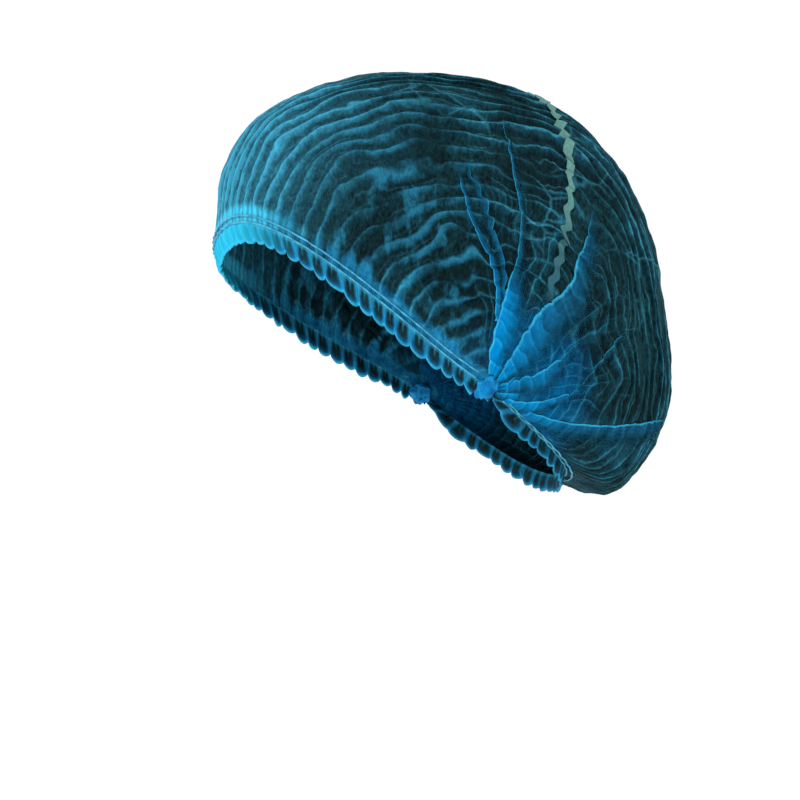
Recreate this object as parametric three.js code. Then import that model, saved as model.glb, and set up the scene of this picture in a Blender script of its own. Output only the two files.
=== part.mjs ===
// A pleated disposable hairnet in its worn shape, in millimetres with Z up.
// The forehead faces -Y and the wearer's left side is +X.
// The origin is the point inside the crown that bears on the top of a head.

import * as THREE from "three";

// Sizes of the web and of the two gathered ends behind the ears.
const WALL = 1.2;
const GAP = 0.3;
const KNOT_HALF_SPAN = 75;
const KNOT_Y = 15;
const KNOT_Z = -151;
const KNOT_MOUTH_RADIUS = 7;
const PINCH_RADIUS = 24;
const FULLNESS = 0.05;
const RIB_EVENING = 0.25;

// The brims, given as turns about the line through the knots.
// Zero points straight ahead, 90 straight up and 180 straight back.
const FRONT_BRIM = 34;
const REAR_BRIM = 218.5;
const BRIM_ASKEW = 4.2;

// Gathers across the cap.
const RIBS = 32;
const COLUMNS = 2 * RIBS;
const FADE_START = 4;
const FADE_END = 16;
const FOLD_FULL_REACH = 60;
const BRIM_RIB_HEIGHT = 0.1;

// Sections through the line between the knots, from the forehead round to the nape.
// Radius is measured on the middle plane, and half width at the fullest place.
const SECTIONS = [
  { turn: 28, radius: 131, halfWidth: 76, ribHeight: 1.0 },
  { turn: 34, radius: 138, halfWidth: 77, ribHeight: 1.0 },
  { turn: 43, radius: 152, halfWidth: 79, ribHeight: 1.3 },
  { turn: 55, radius: 161, halfWidth: 82, ribHeight: 1.6 },
  { turn: 70, radius: 159, halfWidth: 85, ribHeight: 1.8 },
  { turn: 90, radius: 151.5, halfWidth: 88, ribHeight: 1.8 },
  { turn: 108, radius: 145.5, halfWidth: 88, ribHeight: 1.7 },
  { turn: 124, radius: 134, halfWidth: 88, ribHeight: 1.5 },
  { turn: 140, radius: 119, halfWidth: 87, ribHeight: 1.3 },
  { turn: 160, radius: 105.5, halfWidth: 86, ribHeight: 1.2 },
  { turn: 184, radius: 100.5, halfWidth: 85, ribHeight: 1.2 },
  { turn: 200, radius: 95, halfWidth: 83, ribHeight: 1.3 },
  { turn: 210, radius: 90.5, halfWidth: 80, ribHeight: 1.3 },
  { turn: 214, radius: 87, halfWidth: 77, ribHeight: 1.0 },
  { turn: 216.5, radius: 80, halfWidth: 74, ribHeight: 0.6 },
  { turn: REAR_BRIM, radius: 64, halfWidth: 70, ribHeight: 0.4 },
];

// Larger folds that run into each knot, the same on both sides.
// Start is the share of the way from the middle plane to the knot where a fold rises,
// lean is how far it turns on its way from there to the knot.
const FOLDS = [
  { name: "puff above the brim", turn: 43, lean: -2, height: 3.0, spread: 3.5, start: 0.45 },
  { name: "front pair", turn: 81, lean: 15, height: 3.5, spread: 3.5, start: 0.42 },
  { name: "thin line", turn: 95, lean: 5, height: 2.5, spread: 3.0, start: 0.35 },
  { name: "fan edge", turn: 117, lean: 19, height: 4.0, spread: 4.0, start: 0.35 },
  { name: "broad fold", turn: 138, lean: 20, height: 2.5, spread: 4.0, start: 0.5 },
  { name: "back fold", turn: 161, lean: 12, height: 2.5, spread: 4.5, start: 0.35 },
  { name: "bag crease", turn: 197, lean: 10, height: 3.0, spread: 4.0, start: 0.15 },
];

// Turns at which the web's mesh has a row.
const ROW_TURNS = [
  FRONT_BRIM, 36.5, 43, 50, 58, 68, 76, 81, 86, 92, 98, 105, 112, 118.5, 125, 133,
  143, 153, 163, 175, 187, 197, 205, 210, 214, 216.5, REAR_BRIM,
];

// Hems, the gathered ruffles outside the elastics.
const FRONT_HEM = {
  lobes: 46, width: 11, knotWidth: 7, middleWidth: 9, scallop: 1.3, puff: 1.3,
};
const REAR_HEM = {
  lobes: 26, width: 8, knotWidth: 6, middleWidth: 9, scallop: 1.1, puff: -1.2,
};
const NAPE_HANG = { y: -0.2, z: -0.98 };
const HEM_WALL = 1.0;
const LOBE_STEPS = 3;

// Elastic threads, two along each brim.
const THREAD_DIAMETER = 1.0;
const THREAD_SIDES = 5;
const THREAD_SPACING = 3;
const FRONT = { front: true };
const REAR = { front: false };
const THREADS = [
  { name: "front_elastic", side: FRONT, height: 0.5, steps: 48, endShare: 0.98 },
  { name: "rear_elastic", side: REAR, height: 1.6, steps: 32, endShare: 0.94 },
];

// The narrow joining strip that runs over the crown from knot to knot.
const STRIP = { turn: 105.5, lean: 15, width: 6, thickness: 0.6, endShare: 0.74 };

// The heat-welded gathers at the knots.
const WELD = { radius: 6.4, length: 11, lobes: 6, lobeDepth: 0.7, rings: 5, sides: 12 };

const COLOURS = {
  web: 0x2f8fb8,
  hem: 0x1f9fd4,
  weld: 0x1590d0,
  elastic: 0x8fd0ea,
  strip: 0x8fb7ae,
};

function smooth(from, to, value) {
  const t = Math.min(1, Math.max(0, (value - from) / (to - from)));
  return t * t * (3 - 2 * t);
}

function mix(a, b, t) {
  return a + (b - a) * t;
}

// Slope of a table column at a row, kept flat at peaks so that the curve never overshoots.
function rowSlope(rows, key, i) {
  const before = rows[Math.max(0, i - 1)];
  const here = rows[i];
  const after = rows[Math.min(rows.length - 1, i + 1)];
  const left = i > 0 ? (here[key] - before[key]) / (here.turn - before.turn) : 0;
  const right = i < rows.length - 1 ? (after[key] - here[key]) / (after.turn - here.turn) : 0;
  if (i === 0) return right;
  if (i === rows.length - 1) return left;
  return left * right <= 0 ? 0 : (2 * left * right) / (left + right);
}

// A smooth value between the rows of a table whose rows are ordered by turn.
function tableValue(rows, key, turn) {
  const last = rows.length - 2;
  let i = 0;
  while (i < last && turn > rows[i + 1].turn) i += 1;
  const step = rows[i + 1].turn - rows[i].turn;
  const t = Math.min(1, Math.max(0, (turn - rows[i].turn) / step));
  const slopeHere = rowSlope(rows, key, i) * step;
  const slopeNext = rowSlope(rows, key, i + 1) * step;
  const a = rows[i][key];
  const b = rows[i + 1][key];
  const t2 = t * t;
  const t3 = t2 * t;
  return (2 * t3 - 3 * t2 + 1) * a + (t3 - 2 * t2 + t) * slopeHere
    + (3 * t2 - 2 * t3) * b + (t3 - t2) * slopeNext;
}

// Turn of the front brim: the near side rides up over the temple, the far side sits lower.
function frontBrimTurn(share) {
  return FRONT_BRIM + BRIM_ASKEW * 2.6 * share * (1 - share * share);
}

// A nominal turn is stretched so that the brims are always the ends of the web.
function turnAt(share, nominal) {
  const rise = (nominal - FRONT_BRIM) / (REAR_BRIM - FRONT_BRIM);
  return mix(frontBrimTurn(share), REAR_BRIM, rise);
}

// Share is -1 at the far knot, 0 on the middle plane and 1 at the near knot.
function bodyPoint(share, turn) {
  const s = Math.abs(share);
  const side = Math.sign(share);
  const swing = side * (Math.PI / 2) * ((1 + RIB_EVENING) * s - RIB_EVENING * s * s);
  const fullness = 1 + FULLNESS * Math.sin(2 * swing) ** 2;
  const radius = tableValue(SECTIONS, "radius", turn);
  const halfWidth = tableValue(SECTIONS, "halfWidth", turn);
  const reach = KNOT_MOUTH_RADIUS + (radius - KNOT_MOUTH_RADIUS) * Math.cos(swing) * fullness;
  const pinch = (halfWidth - KNOT_HALF_SPAN) * Math.exp(-((reach / PINCH_RADIUS) ** 2));
  const angle = THREE.MathUtils.degToRad(turn);
  return new THREE.Vector3(
    halfWidth * Math.sin(swing) * fullness - side * pinch,
    KNOT_Y - reach * Math.cos(angle),
    KNOT_Z + reach * Math.sin(angle),
  );
}

// Distance of a point from the line through the knots.
function knotDistance(point) {
  return Math.hypot(point.y - KNOT_Y, point.z - KNOT_Z);
}

const SHARE_STEP = 0.004;
const TURN_STEP = 0.4;

// Directions on the web at one place: along a rib row, along a turn, and outward.
function bodyFrame(share, turn) {
  const s0 = Math.max(-1, share - SHARE_STEP);
  const s1 = Math.min(1, share + SHARE_STEP);
  const t0 = Math.max(FRONT_BRIM - BRIM_ASKEW * 1.05, turn - TURN_STEP);
  const t1 = Math.min(REAR_BRIM, turn + TURN_STEP);
  const across = bodyPoint(s1, turn).sub(bodyPoint(s0, turn)).normalize();
  const around = bodyPoint(share, t1).sub(bodyPoint(share, t0)).normalize();
  const outward = new THREE.Vector3().crossVectors(across, around).normalize();
  return { across, around, outward };
}

// Distance in millimetres along the web from the nearer brim.
function brimDistance(share, turn) {
  const point = bodyPoint(share, turn);
  const fromFront = THREE.MathUtils.degToRad(turn - frontBrimTurn(share)) * knotDistance(point);
  const fromRear = point.distanceTo(bodyPoint(share, REAR_BRIM));
  return Math.min(fromFront, fromRear);
}

// Folds flatten where the turns crowd together beside a knot.
function foldHeight(share, nominal) {
  const s = Math.abs(share);
  const crowd = Math.min(1, knotDistance(bodyPoint(share, nominal)) / FOLD_FULL_REACH);
  return crowd * FOLDS.reduce((height, fold) => {
    const along = Math.max(0, (s - fold.start) / (1 - fold.start));
    const centre = fold.turn + fold.lean * along;
    const window = smooth(fold.start, fold.start + 0.18, s) * (1 - smooth(0.86, 1, s));
    const hump = Math.exp(-(((nominal - centre) / fold.spread) ** 2));
    return height + fold.height * window * hump;
  }, 0);
}

// Height of the web over its plain body: gathers, then the larger folds.
function webHeight(column, nominal) {
  const share = columnShare(column);
  const turn = turnAt(share, nominal);
  const loose = smooth(FADE_START, FADE_END, brimDistance(share, turn));
  const nearKnot = 1 - smooth(0.8, 1, Math.abs(share));
  const rib = tableValue(SECTIONS, "ribHeight", turn) * nearKnot;
  const crest = column % 2 === 0 ? -1 : 1;
  return crest * mix(BRIM_RIB_HEIGHT, rib, loose) * 0.5 + foldHeight(share, nominal) * loose;
}

function columnShare(column) {
  return (2 * column) / COLUMNS - 1;
}

// A point of the web, offset outward by the given distance from the middle of its wall.
function webPoint(column, nominal, offset) {
  const share = columnShare(column);
  const turn = turnAt(share, nominal);
  const { outward } = bodyFrame(share, turn);
  const height = webHeight(column, nominal) + offset;
  return bodyPoint(share, turn).addScaledVector(outward, height);
}

// A closed wall between two grids of points with the same rows and columns.
function wallGeometry(outer, inner) {
  const rows = outer.length;
  const columns = outer[0].length;
  const positions = [];
  [outer, inner].forEach((grid) => {
    grid.forEach((row) => row.forEach((p) => positions.push(p.x, p.y, p.z)));
  });
  const index = [];
  const out = (r, c) => r * columns + c;
  const into = (r, c) => rows * columns + r * columns + c;
  const quad = (a, b, c, d) => index.push(a, b, c, a, c, d);
  for (let r = 0; r < rows - 1; r += 1) {
    for (let c = 0; c < columns - 1; c += 1) {
      quad(out(r, c), out(r, c + 1), out(r + 1, c + 1), out(r + 1, c));
      quad(into(r, c), into(r + 1, c), into(r + 1, c + 1), into(r, c + 1));
    }
  }
  for (let c = 0; c < columns - 1; c += 1) {
    quad(out(0, c), into(0, c), into(0, c + 1), out(0, c + 1));
    quad(out(rows - 1, c), out(rows - 1, c + 1), into(rows - 1, c + 1), into(rows - 1, c));
  }
  for (let r = 0; r < rows - 1; r += 1) {
    quad(out(r, 0), out(r + 1, 0), into(r + 1, 0), into(r, 0));
    quad(out(r, columns - 1), into(r, columns - 1), into(r + 1, columns - 1), out(r + 1, columns - 1));
  }
  const geometry = new THREE.BufferGeometry();
  geometry.setAttribute("position", new THREE.Float32BufferAttribute(positions, 3));
  geometry.setIndex(index);
  return geometry;
}

function crownGeometry() {
  const grid = (offset) => ROW_TURNS.map((nominal) => (
    Array.from({ length: COLUMNS + 1 }, (_, column) => webPoint(column, nominal, offset))
  ));
  return wallGeometry(grid(WALL / 2), grid(-WALL / 2));
}

// The brim lines, with the direction in which each hem hangs off the web.
function brimAt(side, share) {
  const turn = side.front ? frontBrimTurn(share) : REAR_BRIM;
  const frame = bodyFrame(share, turn);
  const point = bodyPoint(share, turn);
  const down = frame.around.clone().multiplyScalar(side.front ? -1 : 1);
  const hang = down.clone();
  if (!side.front) {
    const nape = new THREE.Vector3(0, NAPE_HANG.y, NAPE_HANG.z);
    hang.lerp(nape, 1 - smooth(0.6, 1, Math.abs(share))).normalize();
  }
  const outward = new THREE.Vector3().crossVectors(frame.across, hang).normalize();
  if (outward.dot(frame.outward) < 0 && side.front) outward.negate();
  const edge = point.clone().addScaledVector(down, GAP + 0.7 * HEM_WALL);
  return { point, edge, hang, outward, up: down.negate(), webOutward: frame.outward };
}

function hemGeometry(side, hem) {
  const count = hem.lobes * LOBE_STEPS;
  const lines = [0, 0.6, 1];
  const grid = (offset) => lines.map((down) => (
    Array.from({ length: count + 1 }, (_, i) => {
      const share = (2 * i) / count - 1;
      const s = Math.abs(share);
      const { edge, hang, outward } = brimAt(side, share);
      const lobe = Math.sin((Math.PI * (i % LOBE_STEPS)) / LOBE_STEPS);
      const middle = mix(hem.middleWidth, hem.width, smooth(0.1, 0.5, s));
      const width = mix(middle, hem.knotWidth, smooth(0.75, 1, s)) - hem.scallop * (1 - lobe);
      const puff = hem.puff * lobe * Math.sin(Math.PI * Math.min(1, down * 0.8));
      return edge.clone().addScaledVector(hang, width * down).addScaledVector(outward, puff + offset);
    })
  ));
  const outer = grid(HEM_WALL / 2);
  const inner = grid(-HEM_WALL / 2);
  return side.front ? wallGeometry(inner, outer) : wallGeometry(outer, inner);
}

// A curve through points that an extrusion can follow without extra bends.
class BrimCurve extends THREE.Curve {
  constructor(side, height, endShare) {
    super();
    this.side = side;
    this.height = height;
    this.endShare = endShare;
  }

  getPoint(t, target = new THREE.Vector3()) {
    const share = mix(-this.endShare, this.endShare, t);
    const { point, up, webOutward } = brimAt(this.side, share);
    const lift = WALL / 2 + BRIM_RIB_HEIGHT + GAP + THREAD_DIAMETER / 2;
    return target.copy(point).addScaledVector(up, this.height).addScaledVector(webOutward, lift);
  }
}

function threadGeometry({ side, steps, endShare }, height) {
  const section = new THREE.Shape();
  const radius = THREAD_DIAMETER / 2;
  for (let i = 0; i < THREAD_SIDES; i += 1) {
    const angle = (2 * Math.PI * i) / THREAD_SIDES;
    const x = radius * Math.cos(angle);
    const y = radius * Math.sin(angle);
    if (i === 0) section.moveTo(x, y);
    else section.lineTo(x, y);
  }
  section.closePath();
  return new THREE.ExtrudeGeometry(section, {
    steps,
    bevelEnabled: false,
    extrudePath: new BrimCurve(side, height, endShare),
  });
}

// A place on the web's faceted outer face, between the two rows that enclose it.
function facePoint(column, nominal, offset) {
  let row = 0;
  while (row < ROW_TURNS.length - 2 && nominal > ROW_TURNS[row + 1]) row += 1;
  const low = ROW_TURNS[row];
  const high = ROW_TURNS[row + 1];
  const a = webPoint(column, low, WALL / 2 + offset);
  const b = webPoint(column, high, WALL / 2 + offset);
  return a.lerp(b, (nominal - low) / (high - low));
}

function stripGeometry() {
  const first = Math.ceil(((1 - STRIP.endShare) / 2) * COLUMNS);
  const columns = Array.from({ length: COLUMNS + 1 - 2 * first }, (_, i) => first + i);
  const edges = [-0.5, 0.5];
  const grid = (offset) => edges.map((edge) => columns.map((column) => {
    const share = columnShare(column);
    const centre = STRIP.turn + STRIP.lean * (share / STRIP.endShare) ** 2;
    const halfTurn = THREE.MathUtils.radToDeg(STRIP.width / knotDistance(bodyPoint(share, centre)));
    const nominal = centre + edge * halfTurn;
    return facePoint(column, nominal, offset);
  }));
  return wallGeometry(grid(GAP + STRIP.thickness), grid(GAP));
}

// A lobed bead about the line through the knots: the web's gathered, welded end.
function weldGeometry() {
  const profile = [new THREE.Vector2(0, -WELD.length / 2)];
  for (let i = 1; i < WELD.rings; i += 1) {
    const angle = (Math.PI * i) / WELD.rings - Math.PI / 2;
    const bulge = Math.cos(angle) ** 0.6;
    profile.push(new THREE.Vector2(WELD.radius * bulge, (WELD.length / 2) * Math.sin(angle)));
  }
  profile.push(new THREE.Vector2(0, WELD.length / 2));
  const geometry = new THREE.LatheGeometry(profile, WELD.sides);
  const position = geometry.attributes.position;
  for (let i = 0; i < position.count; i += 1) {
    const x = position.getX(i);
    const z = position.getZ(i);
    const radius = Math.hypot(x, z);
    const ripple = 0.5 - 0.5 * Math.cos(WELD.lobes * Math.atan2(z, x));
    const shrink = radius > 0 ? 1 - (WELD.lobeDepth / WELD.radius) * ripple : 1;
    position.setX(i, x * shrink);
    position.setZ(i, z * shrink);
  }
  return geometry;
}

function material(colour, roughness) {
  return new THREE.MeshStandardMaterial({ color: colour, roughness, metalness: 0 });
}

function piece(name, geometry, colour, roughness) {
  const mesh = new THREE.Mesh(geometry, material(colour, roughness));
  mesh.name = name;
  return mesh;
}

function weld(name, side) {
  const mesh = piece(name, weldGeometry(), COLOURS.weld, 0.7);
  mesh.rotation.z = Math.PI / 2;
  mesh.position.set(side * KNOT_HALF_SPAN, KNOT_Y, KNOT_Z);
  return mesh;
}

const hairnet = new THREE.Group();
hairnet.add(piece("crown", crownGeometry(), COLOURS.web, 0.85));
hairnet.add(piece("front_hem", hemGeometry(FRONT, FRONT_HEM), COLOURS.hem, 0.8));
hairnet.add(piece("rear_hem", hemGeometry(REAR, REAR_HEM), COLOURS.hem, 0.8));
THREADS.forEach((thread) => {
  const lower = threadGeometry(thread, thread.height);
  const upper = threadGeometry(thread, thread.height + THREAD_SPACING);
  hairnet.add(piece(`${thread.name}_lower`, lower, COLOURS.elastic, 0.6));
  hairnet.add(piece(`${thread.name}_upper`, upper, COLOURS.elastic, 0.6));
});
hairnet.add(piece("join_strip", stripGeometry(), COLOURS.strip, 0.6));
hairnet.add(weld("left_end_weld", 1));
hairnet.add(weld("right_end_weld", -1));

export default hairnet;
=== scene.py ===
# %% [markdown]
# A pleated disposable hairnet, in the shape it has when it is worn.
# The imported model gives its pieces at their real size, and this script dresses them. Everything is in
# metres, with the forehead towards -Y and the wearer's left side at +X.

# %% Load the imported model
import math

import bpy
import numpy as np
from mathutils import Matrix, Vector


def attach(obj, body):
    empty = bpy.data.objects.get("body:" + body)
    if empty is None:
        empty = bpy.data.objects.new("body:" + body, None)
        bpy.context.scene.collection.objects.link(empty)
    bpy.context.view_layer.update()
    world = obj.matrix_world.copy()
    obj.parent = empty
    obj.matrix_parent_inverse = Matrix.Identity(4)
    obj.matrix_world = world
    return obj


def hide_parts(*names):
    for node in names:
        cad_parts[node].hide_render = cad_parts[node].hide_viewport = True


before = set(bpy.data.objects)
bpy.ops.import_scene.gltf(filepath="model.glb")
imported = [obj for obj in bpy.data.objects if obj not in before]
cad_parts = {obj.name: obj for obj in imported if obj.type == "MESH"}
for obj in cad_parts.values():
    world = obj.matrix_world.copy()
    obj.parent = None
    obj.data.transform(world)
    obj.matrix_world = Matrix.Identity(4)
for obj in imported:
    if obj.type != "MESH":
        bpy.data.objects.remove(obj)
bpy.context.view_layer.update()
print("nodes", sorted(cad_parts))

# %% [markdown]
# The camera comes first, because every other choice is judged through it. The cap is seen from its
# left side, turned a little to the front. A long lens keeps the far side nearly as large as the near one.

# %% Camera
FRAME_PIXELS = 800
PIXELS_PER_METRE = 2100.0
CAMERA_DISTANCE = 1.5
CAMERA_PLACE = (1.465, -0.301, -0.1785)
AIM = (0.0, -0.0105, -0.1555)
SENSOR = 0.036

camera_data = bpy.data.cameras.new("camera")
camera = bpy.data.objects.new("camera", camera_data)
bpy.context.scene.collection.objects.link(camera)
camera_data.sensor_width = SENSOR * 1000
camera_data.lens = SENSOR * 1000 * CAMERA_DISTANCE * PIXELS_PER_METRE / FRAME_PIXELS
camera.location = CAMERA_PLACE


def aim(thing, target):
    """Turns a camera or a light towards a point."""
    direction = Vector(target) - thing.location
    thing.rotation_mode = "QUATERNION"
    thing.rotation_quaternion = direction.to_track_quat("-Z", "Y")


aim(camera, AIM)
bpy.context.scene.camera = camera
print("lens", round(camera_data.lens, 1), "mm")

# %% [markdown]
# The stage is plain: a wide pale floor below the cap, a white surround, and three soft lamps. The
# cap isn't standing on the floor. It keeps the place it has when it is held up from inside.

# %% Stage and light
FLOOR_HEIGHT = -0.33
FLOOR_HALF_SIDE = 40.0


def mesh_object(name, points, faces):
    """A new mesh object in the scene."""
    mesh = bpy.data.meshes.new(name)
    mesh.from_pydata(points, [], faces)
    mesh.update()
    thing = bpy.data.objects.new(name, mesh)
    bpy.context.scene.collection.objects.link(thing)
    return thing


corners = [(-1, -1), (1, -1), (1, 1), (-1, 1)]
floor_points = [(x * FLOOR_HALF_SIDE, y * FLOOR_HALF_SIDE, FLOOR_HEIGHT) for x, y in corners]
floor = mesh_object("floor", floor_points, [(0, 1, 2, 3)])
pale = bpy.data.materials.new("pale_floor")
pale.use_nodes = True
pale_shader = pale.node_tree.nodes["Principled BSDF"]
pale_shader.inputs["Base Color"].default_value = (1.0, 1.0, 1.0, 1.0)
pale_shader.inputs["Roughness"].default_value = 0.9
pale_shader.inputs["Specular IOR Level"].default_value = 0.0
floor.data.materials.append(pale)

surround = bpy.data.worlds.new("surround")
bpy.context.scene.world = surround
surround.use_nodes = True
surround.node_tree.nodes["Background"].inputs["Color"].default_value = (1.0, 1.0, 1.0, 1.0)
surround.node_tree.nodes["Background"].inputs["Strength"].default_value = 1.04
bpy.context.scene.view_settings.view_transform = "Standard"


def lamp(name, place, target, size, power):
    """A soft square lamp."""
    data = bpy.data.lights.new(name, "AREA")
    data.size = size
    data.energy = power
    thing = bpy.data.objects.new(name, data)
    thing.location = place
    bpy.context.scene.collection.objects.link(thing)
    aim(thing, target)
    return thing


CAP_MIDDLE = (0.0, 0.01, -0.1)
lamp("key_lamp", (1.1, -1.2, 0.9), CAP_MIDDLE, 0.7, 16.0)
lamp("back_lamp", (0.6, 1.5, 0.7), CAP_MIDDLE, 0.8, 8.0)
lamp("far_lamp", (-1.4, -0.4, 0.6), CAP_MIDDLE, 0.9, 8.0)

# %% [markdown]
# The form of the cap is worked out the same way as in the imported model. A turn is an angle about
# the line through the two welded ends: 34 degrees at the forehead, 90 straight up, 218.5 at the nape.
# A share runs from -1 at the far end to 1 at the near one. A short table gives the radius and the
# half width for some turns, in millimetres, and a smooth curve that never overshoots joins its rows.
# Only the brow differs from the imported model: the brim dips lower there, as in the photograph.

# %% The body of the cap
KNOT_HALF_SPAN = 0.075
KNOT_Y = 0.015
KNOT_Z = -0.151
KNOT_MOUTH_RADIUS = 0.0045
PINCH_RADIUS = 0.024
FULLNESS = 0.05
RIB_EVENING = 0.25
FRONT_BRIM = 34.0
REAR_BRIM = 218.5
BRIM_ASKEW = 4.2
BROW_DROP = 2.6
BROW_MIDDLE = -0.08
BROW_HALF_WIDTH = 0.28
CUBIC_PEAK = 2.6

SECTION_NAMES = ("turn", "radius", "half_width", "gather_height")
SECTION_ROWS = (
    (26.0, 125.0, 75.0, 0.7),
    (34.0, 136.5, 77.0, 0.7),
    (43.0, 152.0, 79.0, 1.0),
    (55.0, 161.0, 82.0, 1.2),
    (70.0, 159.0, 85.0, 1.4),
    (90.0, 151.5, 88.0, 1.5),
    (108.0, 145.5, 88.0, 1.5),
    (124.0, 134.0, 88.0, 1.4),
    (140.0, 119.0, 87.0, 1.3),
    (160.0, 105.5, 86.0, 1.2),
    (184.0, 100.5, 85.0, 1.2),
    (200.0, 95.0, 83.0, 1.2),
    (210.0, 90.5, 80.0, 1.1),
    (214.0, 87.0, 77.0, 0.9),
    (216.5, 80.0, 74.0, 0.6),
    (218.5, 64.0, 70.0, 0.4),
)
FIRST_TURN = SECTION_ROWS[0][0]
MILLIMETRE = 0.001
sections = {name: np.array(column) for name, column in zip(SECTION_NAMES, zip(*SECTION_ROWS))}
for name in SECTION_NAMES[1:]:
    sections[name] = sections[name] * MILLIMETRE


def through(x, y, at):
    """A smooth curve through points that never overshoots them."""
    chord = np.diff(y) / np.diff(x)
    product = chord[:-1] * chord[1:]
    total = chord[:-1] + chord[1:]
    inner = np.where(product > 0, 2 * product / np.where(product > 0, total, 1.0), 0.0)
    slope = np.concatenate([chord[:1], inner, chord[-1:]])
    at = np.clip(at, x[0], x[-1])
    i = np.clip(np.searchsorted(x, at, side="right") - 1, 0, len(x) - 2)
    step = x[i + 1] - x[i]
    t = (at - x[i]) / step
    here = (2 * t**3 - 3 * t**2 + 1) * y[i] + (t**3 - 2 * t**2 + t) * slope[i] * step
    there = (3 * t**2 - 2 * t**3) * y[i + 1] + (t**3 - t**2) * slope[i + 1] * step
    return here + there


def section_value(name, turn):
    """A column of the table at any turn."""
    return through(sections["turn"], sections[name], turn)


def smooth(low, high, value):
    """0 below low, 1 above high and an eased way between."""
    t = np.clip((value - low) / (high - low), 0.0, 1.0)
    return t * t * (3 - 2 * t)


def front_brim_turn(share):
    """The near side of the front brim rides up over the temple, and its middle dips over the brow."""
    askew = BRIM_ASKEW * CUBIC_PEAK * share * (1 - share**2)
    return FRONT_BRIM + askew - BROW_DROP * np.exp(-(((share - BROW_MIDDLE) / BROW_HALF_WIDTH) ** 2))


def turn_at(share, nominal):
    """Stretches a nominal turn so that the brims are always the ends of the web."""
    rise = (nominal - FRONT_BRIM) / (REAR_BRIM - FRONT_BRIM)
    start = front_brim_turn(share)
    return start + (REAR_BRIM - start) * rise


def body_point(share, turn):
    """Points on the plain body, as an array with x, y and z last."""
    s = np.abs(share)
    side = np.sign(share)
    swing = side * (math.pi / 2) * ((1 + RIB_EVENING) * s - RIB_EVENING * s**2)
    fullness = 1 + FULLNESS * np.sin(2 * swing) ** 2
    radius = section_value("radius", turn)
    half_width = section_value("half_width", turn)
    reach = KNOT_MOUTH_RADIUS + (radius - KNOT_MOUTH_RADIUS) * np.cos(swing) * fullness
    pinch = (half_width - KNOT_HALF_SPAN) * np.exp(-((reach / PINCH_RADIUS) ** 2))
    angle = np.radians(turn)
    x = half_width * np.sin(swing) * fullness - side * pinch
    y = KNOT_Y - reach * np.cos(angle)
    z = KNOT_Z + reach * np.sin(angle)
    return np.stack([x, y, z], axis=-1)


def unit(vectors):
    """Vectors scaled to length one."""
    return vectors / np.maximum(np.linalg.norm(vectors, axis=-1, keepdims=True), 1e-9)


def body_frame(share, turn):
    """Directions across the gathers, around the cap and outward."""
    step = 0.003
    wide = 0.3
    low, high = np.maximum(share - step, -1), np.minimum(share + step, 1)
    back, ahead = np.maximum(turn - wide, FIRST_TURN), np.minimum(turn + wide, REAR_BRIM)
    across = unit(body_point(high, turn) - body_point(low, turn))
    around = unit(body_point(share, ahead) - body_point(share, back))
    return across, around, unit(np.cross(across, around))


middle = body_point(np.array([0.0]), np.array([90.0]))[0]
print("top of the body", middle.round(4))

# %% [markdown]
# Cloth never repeats itself exactly. A lattice of random heights, eased between its points, lets
# gathers wander and wrinkles come and go, and a fixed seed gives the same cloth in every run. The
# ridged form of the same noise makes thin lines instead of clouds.

# %% Noise for the cloth
LATTICE = 64


def noise(u, v, seed):
    """Smooth noise between -1 and 1 over two coordinates."""
    table = np.random.default_rng(seed).uniform(-1, 1, (LATTICE, LATTICE))
    u, v = np.broadcast_arrays(u, v)
    i, j = np.floor(u).astype(int), np.floor(v).astype(int)
    a, b = smooth(0, 1, u - i), smooth(0, 1, v - j)
    near = table[i % LATTICE, j % LATTICE] * (1 - b) + table[i % LATTICE, (j + 1) % LATTICE] * b
    i = i + 1
    far = table[i % LATTICE, j % LATTICE] * (1 - b) + table[i % LATTICE, (j + 1) % LATTICE] * b
    return near * (1 - a) + far * a


def ridges(u, v, seed, sharpness):
    """Thin lines between 0 and 1 where the noise passes through zero."""
    return (1 - np.clip(np.abs(noise(u, v, seed)) * 2.2, 0, 1)) ** sharpness


# %% [markdown]
# The web is one sheet, gathered by the elastics and by the welds at its two ends. Two families of
# folds cross on it. The gathers run round the cap from the forehead to the nape, so they follow a
# share, and their crests lean to one side like knife pleats. The creases fan out from the welded
# ends, so they follow a turn. A cloth simulation of some fifty gathers would be slow and hard to
# steer, so the folds are worked out by formula on a fine grid.

# %% Gathers of the web
GATHERS = 46
WEB_COLUMNS = 460
WEB_ROWS = 214


def along_surface(share, turn):
    """Distance from the line through the knots, and from the front and rear brims."""
    point = body_point(share, turn)
    reach = np.hypot(point[..., 1] - KNOT_Y, point[..., 2] - KNOT_Z)
    front = np.radians(turn - front_brim_turn(share)) * reach
    rear_edge = body_point(share, np.full_like(turn, REAR_BRIM))
    rear = np.linalg.norm(point - rear_edge, axis=-1)
    return reach, front, rear


def gather_phase(share, nominal, brim):
    """Which gather a place is on: whole numbers lie in the valleys, halves on the crests."""
    loose = smooth(0.004, 0.045, brim)
    wide = 0.60 * noise(share * 9 + 40, nominal / 19, 3)
    narrow = 0.42 * noise(share * 23 + 40, nominal / 8, 4)
    return GATHERS * (share + 1) / 2 + (wide + narrow) * loose


def gather_strength(phase, nominal, seed):
    """Each gather fades and swells along its own length."""
    own = noise(np.floor(phase) * 7.31 + 0.5, 2.5, seed + 1)
    return np.clip(0.58 + 0.30 * noise(np.floor(phase) * 7.31 + 0.5, nominal / 13, seed) + 0.34 * own, 0.05, 1)


CREASE_SPACING = 7.5
SETTLE = 0.0016
TOP_SETTLE = 0.0012
BACK_EASE = 0.0026


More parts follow.
